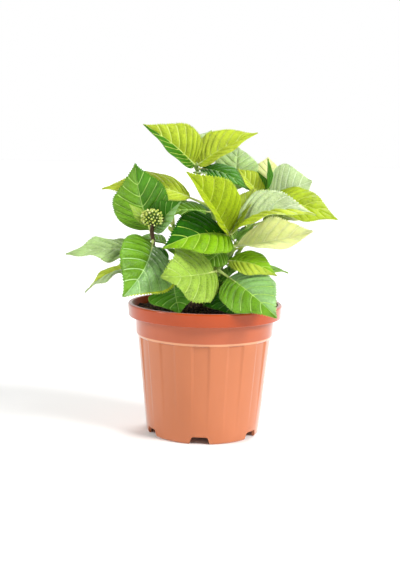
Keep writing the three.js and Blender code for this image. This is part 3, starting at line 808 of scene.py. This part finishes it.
class HYDRANGEA_OT_pot(bpy.types.Operator):
    """Turns the nursery pot, with its flutes, foot notches and drain holes"""

    bl_idname = "hydrangea.pot"
    bl_label = "Nursery pot"

    ROUND_STEPS = 360
    SHARP = 38
    # The height of the floor's underside and of the ledge, and the width of the rim's top
    UNDERSIDE = 0.010
    LEDGE = 0.0035
    RIM_DEPTH = 0.0044
    # A flute's half width and its soft side, in degrees, and the height where it fades out
    FLUTE_HALF = 6.3
    FLUTE_SIDE = 0.9
    FLUTE_FOOT = 0.036
    # The first foot notch, in degrees; the notches' half width at the top and the foot, and their top
    NOTCH_TURN = -92.5
    NOTCHES = 6
    NOTCH_HALF = (0.0085, 0.0118)
    NOTCH_TOP = 0.0083
    DRAIN_RADIUS = 0.004
    DRAIN_PLACE = 0.038

    def execute(self, context):
        s = context.scene.hydrangea_pot
        finishes = context.scene.hydrangea_finishes
        foot, body, collar, rim = s.foot_radius, s.body_top, s.collar_radius, s.rim_radius
        top, rim_foot = s.height, s.height - s.rim_band
        collar_foot = rim_foot - s.collar_band
        body_top = collar_foot - self.LEDGE
        floor_top, rim_floor = self.UNDERSIDE + s.wall, rim_foot + 0.0018
        # Radius, height and rounding, from the foot ring up the outside, over the rim and down the inside
        profile = [
            (foot - 0.004, self.UNDERSIDE, 0), (foot - 0.003, 0.0, 0.0005), (foot - 0.0016, 0.0, 0.0006),
            (foot + 0.0001, 0.0018, 0.0006), (foot + 0.0038, self.FLUTE_FOOT, 0), (body, body_top, 0.0004),
            (collar - 0.0006, collar_foot, 0.0012), (collar, rim_foot, 0.0008),
            (rim - 0.0008, rim_foot, 0.0012), (rim, top - 0.0012, 0.0008), (rim - 0.001, top, 0.0008),
            (rim - 0.0024, top, 0.0002), (rim - 0.0027, top - 0.0005, 0.0002), (rim - 0.0031, top, 0.0002),
            (rim - self.RIM_DEPTH, top, 0.0008), (rim - self.RIM_DEPTH, rim_floor, 0.0008),
            (collar - s.wall, rim_floor, 0.0008), (body - s.wall, body_top, 0.001),
            (foot - s.wall + 0.0008, floor_top, 0.001), (foot - 0.012, floor_top, 0),
        ]
        turned = rounded([(r, z) for r, z, _ in profile], [k for _, _, k in profile])

        pot = turn_profile("nursery_pot", turned, self.ROUND_STEPS)
        step = 360 / s.flutes
        for vertex in pot.data.vertices:
            x, y, z = vertex.co
            if not self.FLUTE_FOOT + 0.001 < z <= body_top + 0.0006:
                continue
            turn = (math.degrees(math.atan2(y, x)) - self.NOTCH_TURN + step / 2) % step - step / 2
            inside = max(0.0, min(1.0, (self.FLUTE_HALF + self.FLUTE_SIDE - abs(turn)) / self.FLUTE_SIDE))
            share = (z - self.FLUTE_FOOT) / (body_top - self.FLUTE_FOOT)
            depth = s.flute_depth * inside * min(1.0, share) * (1 if z < body_top + 0.0003 else 0.5)
            k = 1 - depth / math.hypot(x, y)
            vertex.co = (x * k, y * k, z)

        cutters = []
        for i in range(self.NOTCHES):
            turn = math.radians(self.NOTCH_TURN + 360 / self.NOTCHES * i)
            cutters.append(self.notch_cutter(context, turn))
            cutters.append(self.drain_cutter(context, turn + math.pi / self.NOTCHES))
        bpy.ops.object.select_all(action="DESELECT")
        for cutter in cutters:
            cutter.select_set(True)
        context.view_layer.objects.active = cutters[0]
        bpy.ops.object.join()
        cutter = context.object
        select_only(pot)
        cut = pot.modifiers.new("notches and drain holes", "BOOLEAN")
        cut.operation, cut.object, cut.solver = "DIFFERENCE", cutter, "EXACT"
        bpy.ops.object.modifier_apply(modifier=cut.name)
        bpy.data.objects.remove(cutter)
        select_only(pot)
        bpy.ops.object.shade_smooth_by_angle(angle=math.radians(self.SHARP))
        pot.data.materials.clear()
        pot.data.materials.append(pot_material(finishes.pot_rim, finishes.pot_collar, finishes.pot_wall,
                                               finishes.pot_ledge))
        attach(pot, BODY)
        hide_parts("pot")
        return {"FINISHED"}

    def notch_cutter(self, context, turn):
        """A block with a narrower, rounded top, laid through the foot ring from 52 to 72 mm out."""
        bpy.ops.object.select_all(action="DESELECT")
        bpy.ops.mesh.primitive_cube_add(size=1, location=(0, 0, 0))
        block = context.object
        for vertex in block.data.vertices:
            x, y, z = vertex.co
            half, height = (self.NOTCH_HALF[0], self.NOTCH_TOP) if z > 0 else (self.NOTCH_HALF[1], -0.003)
            vertex.co = (0.062 + x * 0.02, math.copysign(half, y), height)
        bpy.ops.object.mode_set(mode="EDIT")
        bpy.ops.mesh.select_mode(type="EDGE")
        bpy.ops.mesh.select_all(action="DESELECT")
        bpy.ops.object.mode_set(mode="OBJECT")
        for edge in block.data.edges:
            ends = [block.data.vertices[i].co for i in edge.vertices]
            edge.select = min(e.z for e in ends) > 0 and abs(ends[0].x - ends[1].x) > 0.01
        bpy.ops.object.mode_set(mode="EDIT")
        bpy.ops.mesh.bevel(offset=0.0022, segments=4, profile=0.5)
        bpy.ops.object.mode_set(mode="OBJECT")
        block.data.transform(Matrix.Rotation(turn, 4, "Z"))
        return block

    def drain_cutter(self, context, turn):
        """A rod 8 mm long, put through the floor."""
        bpy.ops.object.select_all(action="DESELECT")
        bpy.ops.mesh.primitive_cylinder_add(vertices=28, radius=self.DRAIN_RADIUS, depth=0.008,
                                            location=(self.DRAIN_PLACE, 0, 0.0111))
        hole = context.object
        bpy.ops.object.transform_apply(location=True, rotation=True, scale=True)
        hole.data.transform(Matrix.Rotation(turn, 4, "Z"))
        return hole


class HYDRANGEA_OT_soil(bpy.types.Operator):
    """Fills the pot with potting mix, its top lumpy, with crumbs and pale fibres"""

    bl_idname = "hydrangea.soil"
    bl_label = "Potting mix"

    ROUND_STEPS = 120
    TOP_RINGS = 40
    SHARP = 40
    # The mix's outside up to where it meets the rim's step, by radius and height
    SIDE = ((60.0, 12.5), (69.2, 107.2), (73.3, 131.8), (80.2, 131.8))
    # Twelve waves make its lumps, and over its outer part it sinks by 1 mm
    LUMPS = 12
    LUMP_HEIGHT = 0.55
    SINKS = (66, 80)
    # Crumbs and fibres: how many, how far out, and how far from the trunk they keep
    CRUMBS = (2200, 79, 5)
    CRUMB_SIZES = (0.6, 0.8, 0.8, 1.1, 1.5)
    BARK_SHARE = 0.35
    FIBRES = (420, 75, 8)
    FIBRE_RADIUS = 0.2

    def execute(self, context):
        level = context.scene.hydrangea_plant.soil_level / MM
        colours = context.scene.hydrangea_finishes
        chance = random.Random(context.scene.hydrangea_plant.seed)
        materials = {
            "mix": mix_material("moist peat mix", colours.soil, 0.5),
            "bark": mix_material("composted bark crumb", colours.bark_crumb, 0.4),
            "fibre": mix_material("coir fibre", colours.fibre, 0.25),
        }
        rim_side = self.SIDE[-1][0]
        lumps = [(chance.uniform(0.05, 0.35), chance.uniform(0, 6.28), chance.uniform(0, 6.28))
                 for _ in range(self.LUMPS)]

        def top(x, y):
            rough = sum(math.sin(x * k * math.cos(a) + y * k * math.sin(a) + b) / (1 + 6 * k)
                        for k, a, b in lumps)
            sunk = max(0.0, (math.hypot(x, y) - self.SINKS[0]) / (self.SINKS[1] - self.SINKS[0]))
            return level + self.LUMP_HEIGHT * rough - sunk

        rings = [*self.SIDE, *((rim_side * (1 - i / self.TOP_RINGS), level) for i in range(self.TOP_RINGS))]
        mix = turn_profile("potting_mix", [(r * MM, z * MM) for r, z in rings], self.ROUND_STEPS)
        for vertex in mix.data.vertices:
            x, y, z = vertex.co / MM
            if z > level - 0.5:
                vertex.co.z = (top(x, y) + chance.uniform(-0.5, 0.5)) * MM
        select_only(mix)
        bpy.ops.object.shade_smooth_by_angle(angle=math.radians(self.SHARP))
        mix.data.materials.append(materials["mix"])
        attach(mix, BODY)
        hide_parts("soil")

        def places(count, reach, clear):
            """Random places on the mix, clear of the trunk."""
            for _ in range(count):
                r, a = reach * math.sqrt(chance.random()), chance.uniform(0, 2 * math.pi)
                x, y = r * math.cos(a), r * math.sin(a)
                if math.hypot(x - TRUNK["place"][0], y) >= clear:
                    yield x, y

        crumbs = Heap()
        block = np.array([(x, y, z) for x in (-1, 1) for y in (-1, 1) for z in (-1, 1)], float)
        block_faces = [(0, 1, 3, 2), (4, 6, 7, 5), (0, 4, 5, 1), (2, 3, 7, 6), (0, 2, 6, 4), (1, 5, 7, 3)]
        for x, y in places(*self.CRUMBS):
            size = chance.choice(self.CRUMB_SIZES)
            shape = block * [[chance.uniform(0.5, 1.0) * size for _ in range(3)] for _ in range(8)]
            turn = Matrix.Rotation(chance.uniform(0, 6.28), 3,
                                   (chance.random(), chance.random(), chance.random() + 0.1))
            spun = [tuple(turn @ Vector(p) + Vector((x, y, top(x, y) + 0.3 * size))) for p in shape]
            crumbs.add(spun, block_faces, "bark" if chance.random() < self.BARK_SHARE else "mix")
        for x, y in places(*self.FIBRES):
            aim, long = chance.uniform(0, 6.28), chance.uniform(3, 9)
            dx, dy = math.cos(aim) * long / 2, math.sin(aim) * long / 2
            bend = chance.uniform(-0.35, 0.35) * long
            line = Route([(x - dx, y - dy, top(x - dx, y - dy) + 0.2),
                          (x - dy * bend / long, y + dx * bend / long, top(x, y) + 0.9),
                          (x + dx, y + dy, top(x + dx, y + dy) + 0.3)])
            crumbs.add_tube("fibre", line, 0, 1, lambda s, a: self.FIBRE_RADIUS, 3, 4)
        crumbs.make("mix_crumbs", materials, (), "potting_mix", sharp=30)
        return {"FINISHED"}


class HYDRANGEA_OT_stems(bpy.types.Operator):
    """Grows the trunk and boughs with their bark, and the green shoots inside the masses"""

    bl_idname = "hydrangea.stems"
    bl_label = "Stems"

    SIDES = 12
    KNOBS = 14
    # In mm: half of the gap where a bough ends and its shoot begins, and each one's distance between rings
    HALF_GAP = 0.15
    BOUGH_RING, SHOOT_RING = 1.6, 1.4

    def execute(self, context):
        colours = context.scene.hydrangea_finishes
        materials = {
            "old": stalk_material("half-woody stem", colours.old_stem, 0.6, 320.0),
            "green": stalk_material("green stem", colours.green_stem, 0.45, 260.0),
        }
        chance = random.Random(context.scene.hydrangea_plant.seed + 1)
        bark, shoots = Heap(), Heap()

        def relief(nodes, start, end, r0, r1):
            """A taper with faint ridges, small knobs and a swelling at each leaf pair's node."""
            knobs = [(chance.uniform(0, 1), chance.uniform(0, 6.28)) for _ in range(self.KNOBS)]

            def radius(s, a):
                where = start + (end - start) * s
                swell = sum(0.28 * math.exp(-((where - n) / 0.018) ** 2) for n in nodes)
                knob = sum(0.12 * math.exp(-((s - p) * 22) ** 2 - (math.sin((a - q) / 2) * 4) ** 2)
                           for p, q in knobs)
                return (r0 + (r1 - r0) * s) * (1 + swell + knob + 0.035 * math.sin(6 * a + 9 * s))
            return radius

        trunk = Route([(*TRUNK["place"], height) for height in TRUNK["heights"]])
        bark.add_tube("old", trunk, 0, 1, relief([0.05], 0, 1, *TRUNK["radii"]), 16, 18)
        for shoot in SHOOTS:
            route = Route(shoot["route"])
            enters = route.share_at_height(shoot["enters"])
            half_gap = self.HALF_GAP / route.length
            split = BOUGH_FOOT_RADIUS + (SHOOT_TIP_RADIUS - BOUGH_FOOT_RADIUS) * enters
            heights = [part["at"] for part in shoot["leaves"] + shoot["fans"]]
            nodes = sorted({round(route.share_at_height(height), 2) for height in heights})
            skin = "old" if shoot["name"] == "left" else "green"
            low, high = enters - half_gap, enters + half_gap
            steps = max(10, int(route.length * enters / self.BOUGH_RING))
            bough = relief(nodes + [enters * 0.55], 0, low, BOUGH_FOOT_RADIUS, split)
            bark.add_tube(skin, route, 0, low, bough, self.SIDES, steps)
            steps = max(10, int(route.length * (1 - enters) / self.SHOOT_RING))
            tip = relief(nodes, high, 1, split, SHOOT_TIP_RADIUS)
            shoots.add_tube(skin, route, high, 1, tip, self.SIDES, steps)
        boughs = ["trunk"] + ["bough_" + shoot["name"] for shoot in SHOOTS]
        bark.make("bark_of_trunk_and_boughs", materials, boughs, "stem")
        shoots.make("shoots_in_leaf", materials, (), "stem")
        return {"FINISHED"}


class HYDRANGEA_OT_leaves(bpy.types.Operator):
    """Grows every mass of leaves, each on its own stalks"""

    bl_idname = "hydrangea.leaves"
    bl_label = "Leaves"

    def execute(self, context):
        sizes = context.scene.hydrangea_plant
        colours = context.scene.hydrangea_finishes
        materials = {}
        for name, (blade, vein, under) in TINTS.items():
            wax = WAX.get(name, USUAL_WAX)
            materials["blade", name] = leaf_blade_material(name + " leaf blade", blade, *wax)
            materials["vein", name] = stalk_material(name + " leaf vein", vein, 0.5, 200.0)
            materials["under", name] = leaf_blade_material(name + " leaf underside", under, *UNDERSIDE_WAX)
        skins = {"petiole": stalk_material("leaf stalk", colours.petiole, 0.42, 180.0)}
        chance = random.Random(sizes.seed + 2)
        fans = fanned_leaves()
        stalks = Heap()
        for shoot in SHOOTS:
            route = Route(shoot["route"])
            blades = Heap()
            for form in shoot["leaves"] + fans[shoot["name"]] + young_leaves(shoot, route, chance):
                root = route.at(route.share_at_height(form["at"]))
                grow_leaf(blades, stalks, root, form, sizes, chance)
            blades.make("leaves_" + shoot["name"], materials, ["foliage_" + shoot["name"]], "leaf")
        stalks.make("leaf_stalks", skins, (), "leaf")
        return {"FINISHED"}


class HYDRANGEA_OT_flower_head(bpy.types.Operator):
    """Sets the flower head's unopened buds on their fine stalks"""

    bl_idname = "hydrangea.flower_head"
    bl_label = "Flower head"

    BUDS = 84
    # The turn from one bud to the next that spreads them evenly, and how far down the dome they go
    GOLDEN_TURN = 2.39996
    COVER = 1.45
    # The buds' radii in mm; each is a small globe with four faint lobes and a drawn-out tip
    SIZES = (0.85, 1.1, 1.3, 1.5)
    POINT = 1.18

    def execute(self, context):
        colours = context.scene.hydrangea_finishes
        materials = {
            "bud": stalk_material("unopened bud", colours.bud, 0.5, 500.0),
            "pale bud": stalk_material("swelling bud", colours.pale_bud, 0.5, 500.0),
            "stalk": stalk_material("bud stalk", colours.bud_stalk, 0.6, 300.0),
        }
        chance = random.Random(context.scene.hydrangea_plant.seed + 3)
        head = Heap()
        centre = np.array(HEAD["place"], float)
        lean = Matrix.Rotation(math.radians(20), 3, "X")
        rows, sides = 6, 8
        for i in range(self.BUDS):
            polar, turn = math.acos(1 - (i + 0.5) / self.BUDS * self.COVER), i * self.GOLDEN_TURN
            way = Vector((math.sin(polar) * math.cos(turn), math.sin(polar) * math.sin(turn),
                          math.cos(polar)))
            out = (way + Vector((0, 0, 0.25))).normalized()
            dome = way * HEAD["radius"]
            dome.z = way.z * HEAD["height"]
            dome = dome + out * chance.uniform(-1.6, 0.9)
            place, out = lean @ dome, lean @ out
            size = chance.choice(self.SIZES)
            aside = out.orthogonal().normalized()
            other = out.cross(aside)
            points = []
            for k in range(rows + 1):
                a = math.pi * k / rows
                bulge = max(math.sin(a) ** 0.9, 0.02)
                rise = -math.cos(a) * (self.POINT if k > rows / 2 else 1)
                for j in range(sides):
                    b = 2 * math.pi * j / sides
                    lobe = 1 - 0.1 * math.cos(4 * b) ** 2
                    spoke = (aside * math.cos(b) + other * math.sin(b)) * bulge * lobe
                    points.append(centre + np.array(place + size * (out * rise + spoke)))
            head.add(points, ring_faces(rows, sides), "pale bud" if chance.random() < 0.3 else "bud")
            inner = centre + np.array(lean @ Vector((dome.x * 0.25, dome.y * 0.25, dome.z * 0.2 - 4)))
            outer = centre + np.array(place)
            fine = Route([inner, (inner + outer) / 2 + np.array((0, 0, -0.8)), outer])
            head.add_tube("stalk", fine, 0, 1, lambda s, a: 0.45, 5, 4)
        foot = np.array(SHOOTS[0]["route"][-1], float)
        stalk = Route([foot, (foot + centre) / 2, centre + (0, 0, -1)])
        head.add_tube("stalk", stalk, 0, 1, lambda s, a: SHOOT_TIP_RADIUS + 1.2 * s, 10, 6)
        head.make("flower_head", materials, (), "leaf")
        return {"FINISHED"}


class HYDRANGEA_PT_panel(bpy.types.Panel):
    """Lists the pieces of the potted hydrangea"""

    bl_idname = "HYDRANGEA_PT_panel"
    bl_label = "Potted hydrangea"
    bl_space_type = "VIEW_3D"
    bl_region_type = "UI"
    bl_category = "Hydrangea"

    def draw(self, context):
        for step in STEPS:
            self.layout.operator(step.bl_idname)
        for owner in GROUPS:
            group = getattr(context.scene, owner)
            for name in group.bl_rna.properties.keys():
                if name not in ("rna_type", "name"):
                    self.layout.prop(group, name)


GROUPS = {"hydrangea_pot": PotSizes, "hydrangea_plant": PlantSizes, "hydrangea_finishes": Finishes}
STEPS = (HYDRANGEA_OT_stage, HYDRANGEA_OT_pot, HYDRANGEA_OT_soil, HYDRANGEA_OT_stems, HYDRANGEA_OT_leaves,
         HYDRANGEA_OT_flower_head)


def register():
    for kind in (*GROUPS.values(), *STEPS, HYDRANGEA_PT_panel):
        bpy.utils.register_class(kind)
    for name, group in GROUPS.items():
        setattr(bpy.types.Scene, name, PointerProperty(type=group))


def unregister():
    for name in GROUPS:
        delattr(bpy.types.Scene, name)
    for kind in reversed((*GROUPS.values(), *STEPS, HYDRANGEA_PT_panel)):
        bpy.utils.unregister_class(kind)


def main():
    register()
    bpy.ops.hydrangea.stage()
    bpy.ops.hydrangea.pot()
    bpy.ops.hydrangea.soil()
    bpy.ops.hydrangea.stems()
    bpy.ops.hydrangea.leaves()
    bpy.ops.hydrangea.flower_head()
    boxes = {"cad": CAD_BOX, "visual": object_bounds()}
    {name: [[float(c) for c in corner] for corner in box] for name, box in boxes.items()}


if __name__ == "__main__":
    main()
